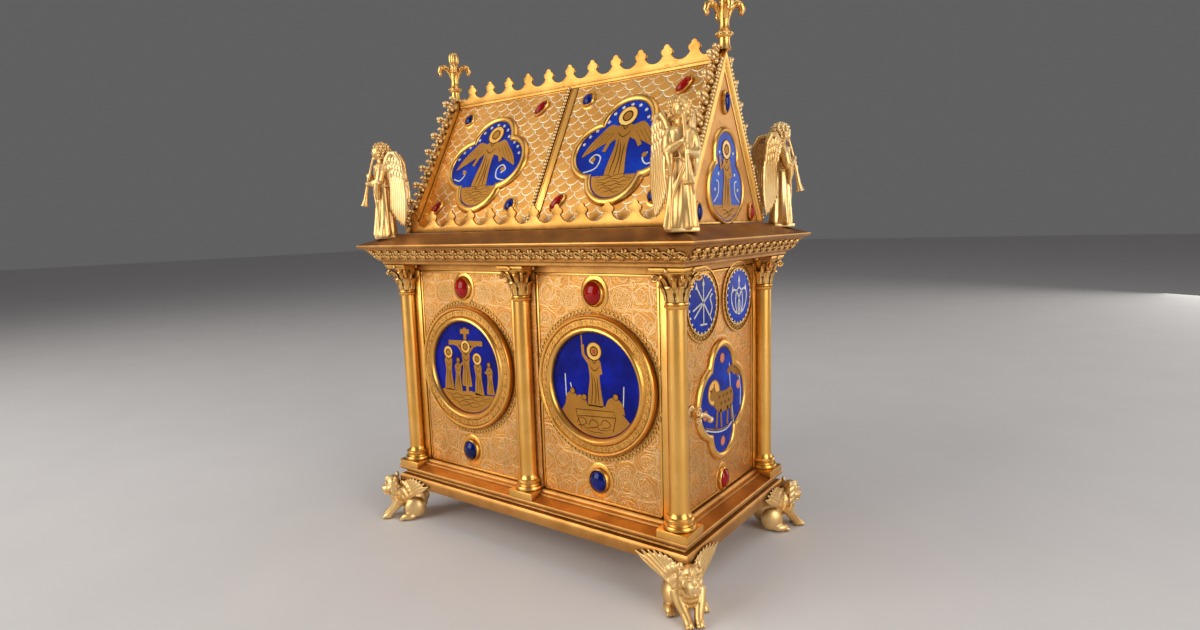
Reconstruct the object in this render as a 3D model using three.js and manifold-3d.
// Reliquary casket: a house-shaped shrine of gilt bronze and enamel on four winged-beast feet.
// Units are millimetres and +Z is up. The origin is on the ground under the middle of the casket.
// X runs along the long side, the front faces -Y, and the door is in the +X end.
import * as THREE from 'three';
import * as BufferGeometryUtils from 'three/addons/utils/BufferGeometryUtils.js';
import Module from 'manifold-3d';

const wasm = await Module();
wasm.setup();

// ---- Driving dimensions ----------------------------------------------------------------------
const GAP = 0.3;                    // clearance left between pieces that touch

const COLUMN_X = 126;               // column axes, from the middle
const COLUMN_Y = 65.3;
const WALL_X = 124;                 // outer faces of the corner posts and pilasters
const WALL_Y = 63.3;
const POST = 11;                    // side of a square corner post
const PANEL_RECESS = 1.2;           // panels lie behind the posts
const PANEL_THICK = 3;
const PILASTER_HALF = 11;

const BASE_X = 137.5;               // half-lengths of the base at its moulded tip
const BASE_Y = 76.8;
const BASE_BOTTOM = 28.5;
const BASE_TOP = 50.8;
const BASE_RAIL = 26;               // width of the solid rail round the hollow underside
const BASE_CEILING = 47.5;

const PLINTH_HALF = 11;             // square block under each column
const PLINTH_BOTTOM = 45;
const PLINTH_TOP = 50.3;
const SHAFT_RADIUS = 6.5;
const SHAFT_BOTTOM = 59.8;
const SHAFT_TOP = 189.8;
const ABACUS_HALF = 12;
const ABACUS_BOTTOM = 210.6;
const ABACUS_TOP = 214.1;

const CORNICE_BOTTOM = 209;
const CORNICE_TOP = 238.3;
const CORNICE_INNER = -10;          // inner edge, measured from the wall faces
const CORNICE_TIP = 29.2;           // overhang of the drip edge
const CORNICE_TIP_Z = 229.8;
const WEATHERING_TOP = 6.5;         // overhang of the bright edge where the weathering ends

const ROOF_FOOT = CORNICE_TOP + GAP;
const RIDGE = 344.5;                // where the two outer roof planes meet
const ROOF_SLOPE = THREE.MathUtils.degToRad(61.62);
const ROOF_THICK = 2.5;
const ROOF_END = 121.6;

const GABLE_INNER = 121.9;          // gable slabs run from here outwards
const GABLE_OUTER = 130.2;
const RAKE_OUT = 6;                 // raking frame above the roof plane
const RAKE_IN = 3.5;                // and below it
const CROCKET_COUNT = 7;
const CROCKET_HEIGHT = 7.5;
const GABLE_CUT = 352;              // flat top that carries the finial
const FINIAL_X = 127.3;
const FINIAL_TOP = 392;

const CREST_PITCH = 21.2;
const CREST_THICK = 1.6;

const MEDALLION_X = 62.1;
const MEDALLION_Z = 133.5;
const MEDALLION_RADIUS = 48.2;
const ENAMEL_RADIUS = 35.8;
const MEDALLION_DEPTH = 6.1;

const QUATREFOIL_Z = 117.5;         // end-panel enamel
const ROUNDEL_Y = 27.3;
const ROUNDEL_Z = 187;
const ROUNDEL_RADIUS = 18.5;
const ROOF_ENAMEL_X = 64.5;
const ROOF_ENAMEL_DOWN = 61;        // down the slope from the ridge
const GABLE_ENAMEL_Z = 261;

const ANGEL_X = 136;
const ANGEL_Y = 75;

// ---- Materials ---------------------------------------------------------------------------------
function metal(color, roughness) {
  return new THREE.MeshStandardMaterial({ color, roughness, metalness: 1 });
}
const PLAIN_GILT = metal(0xd9963a, 0.32);
const ENGRAVED_GILT = metal(0xd0a356, 0.45);
const CAST_GILT = metal(0xd8b866, 0.38);
const BLUE_ENAMEL = new THREE.MeshStandardMaterial({ color: 0x0b1fae, roughness: 0.18, metalness: 0 });

// ---- Solid helpers -----------------------------------------------------------------------------
function toSolid(geometry) {
  const loose = geometry.index ? geometry.toNonIndexed() : geometry.clone();
  loose.deleteAttribute('normal');
  loose.deleteAttribute('uv');
  const merged = BufferGeometryUtils.mergeVertices(loose, 1e-3);
  const corners = merged.index.array;
  const triangles = [];
  for (let i = 0; i < corners.length; i += 3) {
    const [a, b, c] = [corners[i], corners[i + 1], corners[i + 2]];
    if (a !== b && b !== c && c !== a) triangles.push(a, b, c);
  }
  return new wasm.Manifold(new wasm.Mesh({
    numProp: 3,
    vertProperties: new Float32Array(merged.attributes.position.array),
    triVerts: new Uint32Array(triangles),
  }));
}

function toGeometry(solid) {
  const mesh = solid.getMesh();
  const geometry = new THREE.BufferGeometry();
  geometry.setAttribute('position', new THREE.BufferAttribute(mesh.vertProperties, 3));
  geometry.setIndex(new THREE.BufferAttribute(mesh.triVerts, 1));
  geometry.computeVertexNormals();
  return geometry;
}

function join(...geometries) {
  const [first, ...rest] = geometries.map(toSolid);
  return toGeometry(rest.reduce((whole, piece) => whole.add(piece), first));
}

function cut(geometry, ...tools) {
  return toGeometry(tools.map(toSolid).reduce((whole, tool) => whole.subtract(tool), toSolid(geometry)));
}

function block(x0, x1, y0, y1, z0, z1) {
  const box = new THREE.BoxGeometry(x1 - x0, y1 - y0, z1 - z0);
  return box.translate((x0 + x1) / 2, (y0 + y1) / 2, (z0 + z1) / 2);
}

// A moulding round a rectangle. The profile is [overhang, height] pairs that run up its outer side.
// An open profile is closed by a flat cap at each end; a closed one makes a ring.
function rectangleSweep(profile, halfX, halfY, closed) {
  const points = profile.flatMap(([overhang, z]) => {
    const [x, y] = [halfX + overhang, halfY + overhang];
    return [-x, -y, z, x, -y, z, x, y, z, -x, y, z];
  });
  const index = [];
  const rows = profile.length;
  for (let row = 0; row < (closed ? rows : rows - 1); row++) {
    const here = 4 * row;
    const next = 4 * ((row + 1) % rows);
    for (let corner = 0; corner < 4; corner++) {
      const other = (corner + 1) % 4;
      index.push(here + corner, here + other, next + other, here + corner, next + other, next + corner);
    }
  }
  if (!closed) {
    const top = 4 * (rows - 1);
    index.push(0, 2, 1, 0, 3, 2, top, top + 1, top + 2, top, top + 2, top + 3);
  }
  const geometry = new THREE.BufferGeometry();
  geometry.setAttribute('position', new THREE.Float32BufferAttribute(points, 3));
  geometry.setIndex(index);
  return geometry;
}

// A turned solid about the vertical axis, from [radius, height] pairs.
function turned(profile, segments) {
  const lathe = new THREE.LatheGeometry(profile.map(([r, z]) => new THREE.Vector2(r, z)), segments);
  return lathe.rotateX(Math.PI / 2);
}

// A flat plate: the shape lies in the plane of the axes u and v, and thickens along u x v.
function plate(shape, thick, u, v, origin) {
  const geometry = new THREE.ExtrudeGeometry(shape, { depth: thick, bevelEnabled: false });
  const normal = new THREE.Vector3().crossVectors(u, v);
  return geometry.applyMatrix4(new THREE.Matrix4().makeBasis(u, v, normal).setPosition(origin));
}

function ballAt(radius, x, y, z, scale = [1, 1, 1], around = 6, rings = 4) {
  const ball = new THREE.SphereGeometry(radius, around, rings);
  return ball.scale(...scale).translate(x, y, z);
}

// A tapered round bar between two points.
function bar(start, end, startRadius, endRadius, sides = 4) {
  const from = new THREE.Vector3(...start);
  const along = new THREE.Vector3(...end).sub(from);
  const rod = new THREE.CylinderGeometry(endRadius, startRadius, along.length(), sides);
  rod.translate(0, along.length() / 2, 0);
  const turn = new THREE.Quaternion().setFromUnitVectors(new THREE.Vector3(0, 1, 0), along.normalize());
  return rod.applyQuaternion(turn).translate(...start);
}

// The outline of overlapping circles, [x, y, radius], seen from the middle of the figure.
function lobedShape(circles, grow = 0, steps = 16) {
  const points = [];
  for (let step = 0; step < steps; step++) {
    const angle = (2 * Math.PI * step) / steps;
    const [ux, uy] = [Math.cos(angle), Math.sin(angle)];
    let reach = 0;
    for (const [x, y, radius] of circles) {
      const side = x * uy - y * ux;
      const inside = (radius + grow) ** 2 - side * side;
      if (inside > 0) reach = Math.max(reach, x * ux + y * uy + Math.sqrt(inside));
    }
    points.push(new THREE.Vector2(reach * ux, reach * uy));
  }
  return points;
}

function framed(circles, grow) {
  const shape = new THREE.Shape(lobedShape(circles, grow));
  shape.holes.push(new THREE.Path(lobedShape(circles, GAP)));
  return shape;
}

// ---- Scene -------------------------------------------------------------------------------------
const casket = new THREE.Group();

function add(name, geometry, material, parent = casket) {
  const mesh = new THREE.Mesh(geometry, material);
  mesh.name = name;
  parent.add(mesh);
  return mesh;
}

// Mirrors a solid in X, Y or both and keeps its faces outwards.
function mirrored(geometry, signX, signY) {
  const copy = geometry.clone();
  copy.scale(signX, signY, 1);
  if (signX * signY > 0) return toGeometry(toSolid(copy));
  const flipped = copy.index ? copy.toNonIndexed() : copy;
  const position = flipped.getAttribute('position');
  for (let i = 0; i < position.count; i += 3) {
    const keep = new THREE.Vector3().fromBufferAttribute(position, i + 1);
    position.setXYZ(i + 1, position.getX(i + 2), position.getY(i + 2), position.getZ(i + 2));
    position.setXYZ(i + 2, keep.x, keep.y, keep.z);
  }
  return toGeometry(toSolid(flipped));
}

const CORNERS = [
  ['front_left', -1, -1],
  ['front_right', 1, -1],
  ['back_right', 1, 1],
  ['back_left', -1, 1],
];

const UP = new THREE.Vector3(0, 0, 1);
const ALONG_X = new THREE.Vector3(1, 0, 0);
const ALONG_Y = new THREE.Vector3(0, 1, 0);

// ---- Base: moulded frame with a floor and a hollow underside ------------------------------------
function buildBase() {
  const profile = [
    [-BASE_RAIL, BASE_CEILING], [-BASE_RAIL, BASE_BOTTOM], [-1.5, BASE_BOTTOM], [0, 30.5], [0, 35.5],
    [-1.2, 37.8], [-3.8, 38.8], [-4, 40.5], [-1.2, 42], [0, 44], [-9, 47.6], [-9.4, 48.6],
    [-11.6, 49.2], [WALL_X + GAP - BASE_X, BASE_TOP],
  ];
  const whole = rectangleSweep(profile, BASE_X, BASE_Y, false);
  const notches = CORNERS.map(([, sx, sy]) => mirrored(plinthNotch(), sx, sy));
  const middle = block(
    -PLINTH_HALF - GAP, PLINTH_HALF + GAP, WALL_Y, BASE_Y + 1, PLINTH_BOTTOM - GAP, BASE_TOP + 1);
  return cut(whole, ...notches, middle, mirrored(middle, 1, -1));
}

function plinthNotch() {
  const low = PLINTH_BOTTOM - GAP;
  const high = BASE_TOP + 1;
  const half = PLINTH_HALF + GAP;
  const square = block(COLUMN_X - half, BASE_X + 1, COLUMN_Y - half, BASE_Y + 1, low, high);
  return cut(square, block(0, WALL_X, 0, WALL_Y, low - 1, high + 1));
}

add('base', buildBase(), PLAIN_GILT);

// ---- Walls: posts, panels and the hinged door ---------------------------------------------------
const WALL_BOTTOM = BASE_TOP + GAP;
const WALL_TOP = CORNICE_BOTTOM - GAP;
const PANEL_X = WALL_X - PANEL_RECESS;
const PANEL_Y = WALL_Y - PANEL_RECESS;
const DOOR_EDGE = 51.7;
const DOOR_BOTTOM = 51.8;
const DOOR_TOP = 208.2;

for (const [place, sx, sy] of CORNERS) {
  const post = block(WALL_X - POST, WALL_X, WALL_Y - POST, WALL_Y, WALL_BOTTOM, WALL_TOP);
  add(`corner_post_${place}`, mirrored(post, sx, sy), PLAIN_GILT);
}

function longWall() {
  const halfX = WALL_X - POST - GAP;
  const panel = block(-halfX, halfX, -PANEL_Y, PANEL_THICK - PANEL_Y, WALL_BOTTOM, WALL_TOP);
  const pilaster = block(
    -PILASTER_HALF, PILASTER_HALF, -WALL_Y, PANEL_THICK - PANEL_Y, WALL_BOTTOM, WALL_TOP);
  return join(panel, pilaster);
}

add('front_wall', longWall(), ENGRAVED_GILT);
add('back_wall', mirrored(longWall(), 1, -1), ENGRAVED_GILT);

// End panels carry a raised four-lobed frame round their enamel.
const END_LOBES = [[0, 17.4, 19.6], [0, -17.4, 19.6], [14, 0, 19], [-14, 0, 19]];
const FRAME_WIDTH = 6;
const FRAME_HEIGHT = 3;
const FRAME_ROOT = 0.5;             // depth by which a frame is sunk into its panel
const ENAMEL_THICK = 1.4;

function endPanel(halfY, bottom, top) {
  const panel = block(PANEL_X - PANEL_THICK, PANEL_X, -halfY, halfY, bottom, top);
  const origin = new THREE.Vector3(PANEL_X - FRAME_ROOT, 0, QUATREFOIL_Z);
  const frame = plate(framed(END_LOBES, FRAME_WIDTH), FRAME_HEIGHT + FRAME_ROOT, ALONG_Y, UP, origin);
  return join(panel, frame);
}

function endEnamel() {
  const origin = new THREE.Vector3(PANEL_X + GAP, 0, QUATREFOIL_Z);
  const tray = new THREE.Shape(lobedShape(END_LOBES));
  return toGeometry(toSolid(plate(tray, ENAMEL_THICK, ALONG_Y, UP, origin)));
}

function endRoundel(y) {
  const disc = new THREE.CylinderGeometry(ROUNDEL_RADIUS, ROUNDEL_RADIUS, ENAMEL_THICK, 16);
  return disc.rotateZ(Math.PI / 2).translate(PANEL_X + GAP + ENAMEL_THICK / 2, y, ROUNDEL_Z);
}

const endWall = endPanel(WALL_Y - POST - GAP, WALL_BOTTOM, WALL_TOP);
add('left_end_wall', mirrored(endWall, -1, 1), ENGRAVED_GILT);
add('left_end_quatrefoil_enamel', mirrored(endEnamel(), -1, 1), BLUE_ENAMEL);
add('left_end_roundel_front', mirrored(endRoundel(-ROUNDEL_Y), -1, 1), BLUE_ENAMEL);
add('left_end_roundel_back', mirrored(endRoundel(ROUNDEL_Y), -1, 1), BLUE_ENAMEL);

add('end_door', endPanel(DOOR_EDGE, DOOR_BOTTOM, DOOR_TOP), ENGRAVED_GILT);
add('door_quatrefoil_enamel', endEnamel(), BLUE_ENAMEL);
add('door_roundel_front', endRoundel(-ROUNDEL_Y), BLUE_ENAMEL);
add('door_roundel_back', endRoundel(ROUNDEL_Y), BLUE_ENAMEL);

// The latch is a scrolled handle on a short stem, by the free edge of the door.
const LATCH_Y = -44.5;
const LATCH_Z = 118;
function doorLatch() {
  const face = PANEL_X + GAP;
  const rose = new THREE.CylinderGeometry(4.2, 4.8, 1.6, 10).rotateZ(-Math.PI / 2);
  const stem = bar([face, LATCH_Y, LATCH_Z], [face + 7, LATCH_Y, LATCH_Z], 2, 1.8);
  const ball = ballAt(3.4, face + 7.5, LATCH_Y, LATCH_Z);
  const lever = bar([face + 6.5, LATCH_Y, LATCH_Z], [face + 6.5, LATCH_Y + 13, LATCH_Z - 6], 2, 1.6);
  const curl = ballAt(2.6, face + 6.5, LATCH_Y + 14, LATCH_Z - 6.5);
  return join(rose.translate(face + 0.8, LATCH_Y, LATCH_Z), stem, ball, lever, curl);
}
add('door_latch', doorLatch(), CAST_GILT);

// ---- Round medallions on the long sides ---------------------------------------------------------
const MEDALLION_STEPS = 20;
const MEDALLION_ENAMEL_THICK = 2;

function medallionFrame() {
  const [inner, outer] = [ENAMEL_RADIUS + GAP, MEDALLION_RADIUS];
  const profile = [
    [inner, 0], [outer, 0], [outer, MEDALLION_DEPTH * 0.6], [outer - 2.5, MEDALLION_DEPTH],
    [inner, MEDALLION_DEPTH], [inner, 0],
  ];
  return turned(profile, MEDALLION_STEPS).rotateX(Math.PI / 2).translate(0, -PANEL_Y - GAP, 0);
}

function medallionEnamel() {
  const thick = MEDALLION_ENAMEL_THICK;
  const disc = new THREE.CylinderGeometry(ENAMEL_RADIUS, ENAMEL_RADIUS, thick, MEDALLION_STEPS);
  return disc.translate(0, -PANEL_Y - GAP - thick / 2, 0);
}

for (const [side, sy] of [['front', 1], ['back', -1]]) {
  for (const [place, sx] of [['left', -1], ['right', 1]]) {
    const shift = (geometry) => geometry.translate(sx * MEDALLION_X, 0, MEDALLION_Z);
    add(`medallion_frame_${side}_${place}`, mirrored(shift(medallionFrame()), 1, sy), PLAIN_GILT);
    add(`medallion_enamel_${side}_${place}`, mirrored(shift(medallionEnamel()), 1, sy), BLUE_ENAMEL);
  }
}

// ---- Columns: square block, attic base, shaft, ringed neck, flared leafy capital ----------------
function fullColumn() {
  const r = SHAFT_RADIUS;
  const profile = [
    [0, PLINTH_TOP - 0.5], [9.6, PLINTH_TOP - 0.5], [10, 52.6], [8.2, 54.2], [8.8, 57.4], [r, SHAFT_BOTTOM],
    [r, SHAFT_TOP], [7.8, 191.4], [r, 193], [7.2, 200], [10.4, 208], [9.5, ABACUS_BOTTOM + 0.5],
    [0, ABACUS_BOTTOM + 0.5],
  ];
  const [p, a] = [PLINTH_HALF, ABACUS_HALF];
  return join(
    turned(profile, 8),
    block(-p, p, -p, p, PLINTH_BOTTOM, PLINTH_TOP),
    block(-a, a, -a, a, ABACUS_BOTTOM, ABACUS_TOP));
}

const cornerColumn = cut(
  fullColumn().translate(COLUMN_X, COLUMN_Y, 0),
  block(0, WALL_X + GAP, 0, WALL_Y + GAP, 0, CORNICE_TOP));
const middleColumn = cut(
  fullColumn().translate(0, COLUMN_Y, 0),
  block(-COLUMN_X, COLUMN_X, 0, WALL_Y + GAP, 0, CORNICE_TOP));

for (const [place, sx, sy] of CORNERS) {
  add(`column_${place}`, mirrored(cornerColumn, sx, sy), PLAIN_GILT);
}
add('column_front_middle', mirrored(middleColumn, 1, -1), PLAIN_GILT);
add('column_back_middle', middleColumn, PLAIN_GILT);

// ---- Cornice: soffit, leafy frieze, drip edge and weathered top ---------------------------------
const CORNICE_PROFILE = [
  [CORNICE_INNER, CORNICE_BOTTOM], [-GAP, CORNICE_BOTTOM], [-GAP, ABACUS_TOP + GAP],
  [15, ABACUS_TOP + GAP], [15.6, 217.6], [17.6, 218.6], [25.4, 226.8], [28.2, 227.9],
  [CORNICE_TIP, CORNICE_TIP_Z], [WEATHERING_TOP, CORNICE_TOP], [CORNICE_INNER, CORNICE_TOP],
];
add('cornice', toGeometry(toSolid(rectangleSweep(CORNICE_PROFILE, WALL_X, WALL_Y, true))), PLAIN_GILT);

// ---- Roof: two plates that meet under the ridge -------------------------------------------------
const FALL = Math.tan(ROOF_SLOPE);
const UP_SLOPE = new THREE.Vector3(0, Math.cos(ROOF_SLOPE), Math.sin(ROOF_SLOPE));
const OUT_OF_SLOPE = new THREE.Vector3(0, -Math.sin(ROOF_SLOPE), Math.cos(ROOF_SLOPE));
const ROOF_LOBES = [[0, 18, 20], [0, -18, 20], [17, 0, 20], [-17, 0, 20]];

function slopeHalfWidth(z, offset) {
  return (RIDGE - z) / FALL + offset / Math.sin(ROOF_SLOPE);
}

function roofPoint(x, down, out) {
  const point = new THREE.Vector3(x, 0, RIDGE).addScaledVector(UP_SLOPE, -down);
  return point.addScaledVector(OUT_OF_SLOPE, out);
}

function roofPlate() {
  const meet = GAP / 2;
  const inner = -ROOF_THICK;
  const section = new THREE.Shape([
    [slopeHalfWidth(ROOF_FOOT, 0), ROOF_FOOT],
    [slopeHalfWidth(ROOF_FOOT, inner), ROOF_FOOT],
    [meet, RIDGE - (ROOF_THICK / Math.cos(ROOF_SLOPE)) - meet * FALL],
    [meet, RIDGE - meet * FALL],
  ].map(([y, z]) => new THREE.Vector2(-y, z)));
  const start = new THREE.Vector3(-ROOF_END, 0, 0);
  const sheet = plate(section, 2 * ROOF_END, ALONG_Y, UP, start);
  const frames = [-1, 1].map((side) => plate(
    framed(ROOF_LOBES, FRAME_WIDTH), FRAME_HEIGHT + FRAME_ROOT,
    ALONG_X, UP_SLOPE, roofPoint(side * ROOF_ENAMEL_X, ROOF_ENAMEL_DOWN, -FRAME_ROOT)));
  return join(sheet, ...frames);
}

function roofEnamel(side) {
  const origin = roofPoint(side * ROOF_ENAMEL_X, ROOF_ENAMEL_DOWN, GAP);
  return plate(new THREE.Shape(lobedShape(ROOF_LOBES)), ENAMEL_THICK, ALONG_X, UP_SLOPE, origin);
}

for (const [slope, sy] of [['front', 1], ['back', -1]]) {
  add(`roof_plate_${slope}`, mirrored(roofPlate(), 1, sy), ENGRAVED_GILT);
  for (const [place, side] of [['left', -1], ['right', 1]]) {
    add(`roof_enamel_${slope}_${place}`, mirrored(roofEnamel(side), 1, sy), BLUE_ENAMEL);
  }
}

// ---- Gables: raking frame with crockets, thin field, framed enamel ------------------------------
const GABLE_LOBES = [[0, 22.5, 14.5], [6, 0, 17.6], [-6, 0, 17.6], [0, -4.5, 16]];
const FIELD_INNER = 124.6;
const FIELD_OUTER = 127.6;
const RAKE_BAR = 1.2;               // height of the bar that closes the frame at its foot

function rakeOutline() {
  const foot = [slopeHalfWidth(ROOF_FOOT, RAKE_OUT), ROOF_FOOT];
  const head = [slopeHalfWidth(GABLE_CUT, RAKE_OUT), GABLE_CUT];
  const length = Math.hypot(head[0] - foot[0], head[1] - foot[1]);
  const along = [(head[0] - foot[0]) / length, (head[1] - foot[1]) / length];
  const out = [along[1], -along[0]];
  const pitch = length / (CROCKET_COUNT + 0.5);
  const at = (distance, height) => new THREE.Vector2(
    foot[0] + along[0] * distance + out[0] * height,
    foot[1] + along[1] * distance + out[1] * height);
  const side = [at(0, 0)];
  for (let i = 0; i < CROCKET_COUNT; i++) {
    const root = pitch * (i + 0.35);
    side.push(at(root, 0), at(root + pitch * 0.55, CROCKET_HEIGHT), at(root + pitch * 0.7, 0));
  }
  side.push(at(length, 0));
  return side;
}

// The triangle under the roof planes shifted by an offset, above a floor.
function triangle(floor, offset) {
  const half = slopeHalfWidth(floor, offset);
  const apex = floor + half * FALL;
  return [[-half, floor], [half, floor], [0, apex]].map((p) => new THREE.Vector2(...p));
}

function gable() {
  const right = rakeOutline();
  const left = right.map((p) => new THREE.Vector2(-p.x, p.y)).reverse();
  const rake = new THREE.Shape([...right, ...left]);
  rake.holes.push(new THREE.Path(triangle(ROOF_FOOT + RAKE_BAR, -RAKE_IN)));
  const field = new THREE.Shape(triangle(ROOF_FOOT, 0));
  const from = (x, z = 0) => new THREE.Vector3(x, 0, z);
  const whole = join(
    plate(rake, GABLE_OUTER - GABLE_INNER, ALONG_Y, UP, from(GABLE_INNER)),
    plate(field, FIELD_OUTER - FIELD_INNER, ALONG_Y, UP, from(FIELD_INNER)),
    plate(framed(GABLE_LOBES, 4.2), 2.4, ALONG_Y, UP, from(FIELD_OUTER - 0.4, GABLE_ENAMEL_Z)));
  return cut(whole, block(0, WALL_X * 2, -WALL_Y * 2, WALL_Y * 2, 0, ROOF_FOOT));
}

function gableEnamel() {
  const origin = new THREE.Vector3(FIELD_OUTER + GAP, 0, GABLE_ENAMEL_Z);
  return plate(new THREE.Shape(lobedShape(GABLE_LOBES)), 1.2, ALONG_Y, UP, origin);
}

// ---- Finials: stem, knop, four curling petals and a bud -----------------------------------------
function finial() {
  const foot = GABLE_CUT + GAP;
  const stem = turned([
    [0, foot], [3.4, foot], [3, 357], [4.8, 359.6], [4.8, 361.6], [3, 363.5], [2.8, 377], [3.8, 385],
    [2.8, 390], [0, FINIAL_TOP],
  ], 6);
  const petal = new THREE.Shape([
    [0, 366], [2, 366], [7, 374], [12, 376.5], [15.5, 370], [18.2, 371], [17.4, 377], [12, 381], [0, 377],
  ].map((p) => new THREE.Vector2(...p)));
  const petals = [0, 1, 2, 3].map((quarter) => {
    const leaf = plate(petal, 4.4, ALONG_X, UP, new THREE.Vector3(0, 2.2, 0));
    return leaf.rotateZ((Math.PI / 2) * quarter + Math.PI / 4);
  });
  return join(stem, ...petals);
}

for (const [place, sx] of [['left', -1], ['right', 1]]) {
  add(`gable_${place}`, mirrored(gable(), sx, 1), CAST_GILT);
  add(`gable_enamel_${place}`, mirrored(gableEnamel(), sx, 1), BLUE_ENAMEL);
  add(`finial_${place}`, finial().translate(sx * FINIAL_X, 0, 0), CAST_GILT);
}

// ---- Crestings: pierced strips with trefoil-headed points ---------------------------------------
// Points stand at every pitch; the gap between two is a round-bottomed notch.
function cresting(points, foot, gapFloor, top, halfLength) {
  const half = CREST_PITCH / 2;
  const last = half * (points - 1);
  const headLow = top - 7;
  const flank = Math.min(last + half * 0.62, halfLength) - last;
  const outline = [[halfLength, foot]];
  if (flank < halfLength - last) outline.push([halfLength, gapFloor + 1]);
  for (let i = points - 1; i >= 0; i--) {
    const x = last - CREST_PITCH * (points - 1 - i);
    const [before, after] = [i === points - 1, i === 0].map((atEnd) => (atEnd ? flank : half * 0.62));
    outline.push([x + before, gapFloor + 0.8], [x + 2.2, headLow], [x + 4.6, headLow + 2.8], [x, top]);
    outline.push([x - 4.6, headLow + 2.8], [x - 2.2, headLow], [x - after, gapFloor + 0.8]);
    if (i > 0) outline.push([x - half, gapFloor]);
  }
  if (flank < halfLength - last) outline.push([-halfLength, gapFloor + 1]);
  outline.push([-halfLength, foot]);
  return new THREE.Shape(outline.map((p) => new THREE.Vector2(...p)));
}

const RIDGE_POINTS = 11;
const EAVE_POINTS = 12;
const EAVE_Y = 60.5;

function standingStrip(shape, y) {
  const geometry = new THREE.ExtrudeGeometry(shape, { depth: CREST_THICK, bevelEnabled: false });
  return geometry.rotateX(Math.PI / 2).translate(0, y + CREST_THICK / 2, 0);
}

const ridgeShape = cresting(RIDGE_POINTS, RIDGE + GAP, 349.8, 361.4, ROOF_END - GAP);
const eaveShape = cresting(EAVE_POINTS, ROOF_FOOT, 242.8, 255.4, ROOF_END - GAP);
add('ridge_cresting', toGeometry(toSolid(standingStrip(ridgeShape, 0))), PLAIN_GILT);
add('eave_cresting_front', toGeometry(toSolid(standingStrip(eaveShape, -EAVE_Y))), PLAIN_GILT);
add('eave_cresting_back', toGeometry(toSolid(standingStrip(eaveShape, EAVE_Y))), PLAIN_GILT);

// ---- Angels: robed trumpeters that face out from the cornice corners ----------------------------
// Local +X is the way the figure faces; its sole is at z = 0.
const ANGEL_SOLE = 236.2;

function angel() {
  const robe = turned([
    [0, 0], [9.6, 0], [7.8, 10], [8.4, 27], [6.7, 44], [7.6, 54], [5, 60], [2.6, 62], [0, 62],
  ], 8).scale(0.92, 1.08, 1);
  const head = ballAt(7.2, 0.6, 0, 67.5, [1, 0.96, 1.02]);
  const wing = new THREE.Shape([
    [-5, 54], [-10, 67], [-14, 65], [-20, 44], [-18, 24], [-13, 5], [-9, 36],
  ].map((p) => new THREE.Vector2(...p)));
  const wings = [-1, 1].map((side) => {
    const leaf = plate(wing, 3, ALONG_X, UP, new THREE.Vector3(0, 1.5, 0));
    return leaf.rotateZ(side * -0.42).translate(0, side * 3.6, 0);
  });
  const elbow = [3, 9.6, 43];
  const hand = [11, 1, 48];
  const arms = [-1, 1].flatMap((side) => [
    bar([0, side * 6.6, 55.5], [elbow[0], side * elbow[1], elbow[2]], 3.2, 2.8),
    bar([elbow[0], side * elbow[1], elbow[2]], [hand[0], side * hand[1], hand[2] - side * 2], 2.8, 1.8),
  ]);
  const trumpet = bar([6, 0, 62.5], [15, 0, 25], 1.1, 3);
  return join(robe, head, ...wings, ...arms, trumpet);
}

// Cuts the sole to the weathering of the cornice, GAP above it on both of its faces.
function seatOnCornice(figure) {
  const rise = (CORNICE_TOP - CORNICE_TIP_Z) / (CORNICE_TIP - WEATHERING_TOP);
  const lift = GAP / Math.cos(Math.atan(rise));
  const beyond = 20;
  const wedge = rectangleSweep([
    [CORNICE_TIP + beyond, CORNICE_BOTTOM], [CORNICE_TIP + beyond, CORNICE_TIP_Z - beyond * rise + lift],
    [WEATHERING_TOP, CORNICE_TOP + lift],
  ], WALL_X, WALL_Y, false);
  return cut(figure, wedge);
}

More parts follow.
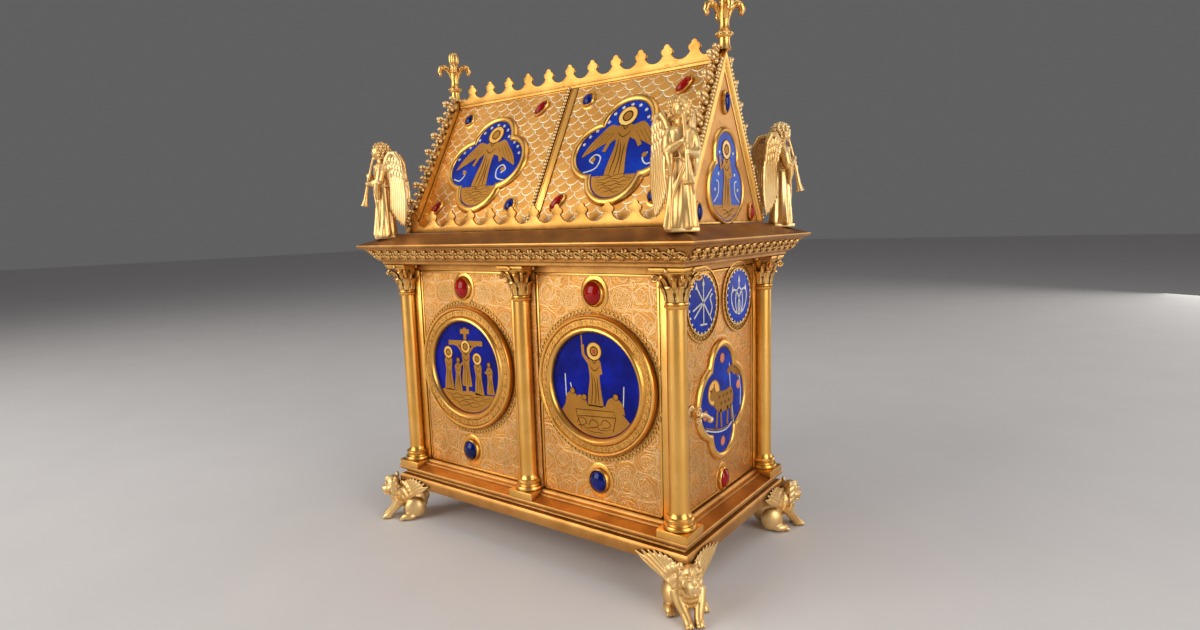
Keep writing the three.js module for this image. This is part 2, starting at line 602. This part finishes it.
const angelSolid = angel();
for (const [place, sx, sy] of CORNERS) {
  const facing = Math.atan2(sy, sx);
  const placed = angelSolid.clone().rotateZ(facing).translate(sx * ANGEL_X, sy * ANGEL_Y, ANGEL_SOLE);
  add(`angel_${place}`, seatOnCornice(placed), CAST_GILT);
}

// ---- Feet: crouching winged beasts under the corners of the base --------------------------------
// Local +X is outwards along the diagonal from the tip of the base corner; the ground is z = 0.
function beastFoot() {
  const body = ballAt(12, -7, 0, 17, [1.3, 0.9, 0.95]);
  const neck = bar([2, 0, 16], [8.5, 0, 30], 9, 5.6);
  const head = ballAt(6.2, 9.5, 0, 30.5);
  const muzzle = bar([10, 0, 30], [15.5, 0, 24], 4.4, 2.8);
  const limbs = [-1, 1].flatMap((side) => [
    bar([2, side * 7.4, 13], [12, side * 4, 3.6], 4, 3.2),
    ballAt(4, 13.4, side * 3.6, 1.6, [1.1, 0.85, 1], 5, 3),
    ballAt(8.4, -10, side * 9, 8.6, [1.15, 0.7, 1.1], 6, 3),
  ]);
  return join(body, neck, head, muzzle, ...limbs);
}

// A wing lies against each base face, tip upwards and away from the corner.
function beastWing() {
  const wing = new THREE.Shape([
    [1, 24], [-3, 12.5], [-13, 13], [-27, 30], [-34.5, 41], [-14, 33.5], [-4, 30],
  ].map((p) => new THREE.Vector2(...p)));
  return plate(wing, 3.2, ALONG_X, UP, new THREE.Vector3(BASE_X, BASE_Y + GAP + 3.2, 0));
}

function seatUnderBase(figure) {
  const ground = block(-60 + BASE_X, 60 + BASE_X, -60 + BASE_Y, 60 + BASE_Y, -40, 0);
  const base = block(0, BASE_X + GAP, 0, BASE_Y + GAP, BASE_BOTTOM - GAP, 100);
  return cut(figure, ground, base);
}

function footAtCorner() {
  const beast = beastFoot().rotateZ(Math.PI / 4).translate(BASE_X, BASE_Y, 0);
  const wing = beastWing();
  const otherWing = mirrored(wing.clone().rotateZ(Math.PI / 2), -1, 1);
  otherWing.translate(BASE_X - BASE_Y, BASE_Y - BASE_X, 0);
  return seatUnderBase(join(beast, wing, otherWing));
}

const footSolid = footAtCorner();
for (const [place, sx, sy] of CORNERS) {
  add(`foot_${place}`, mirrored(footSolid, sx, sy), CAST_GILT);
}

export default casket;
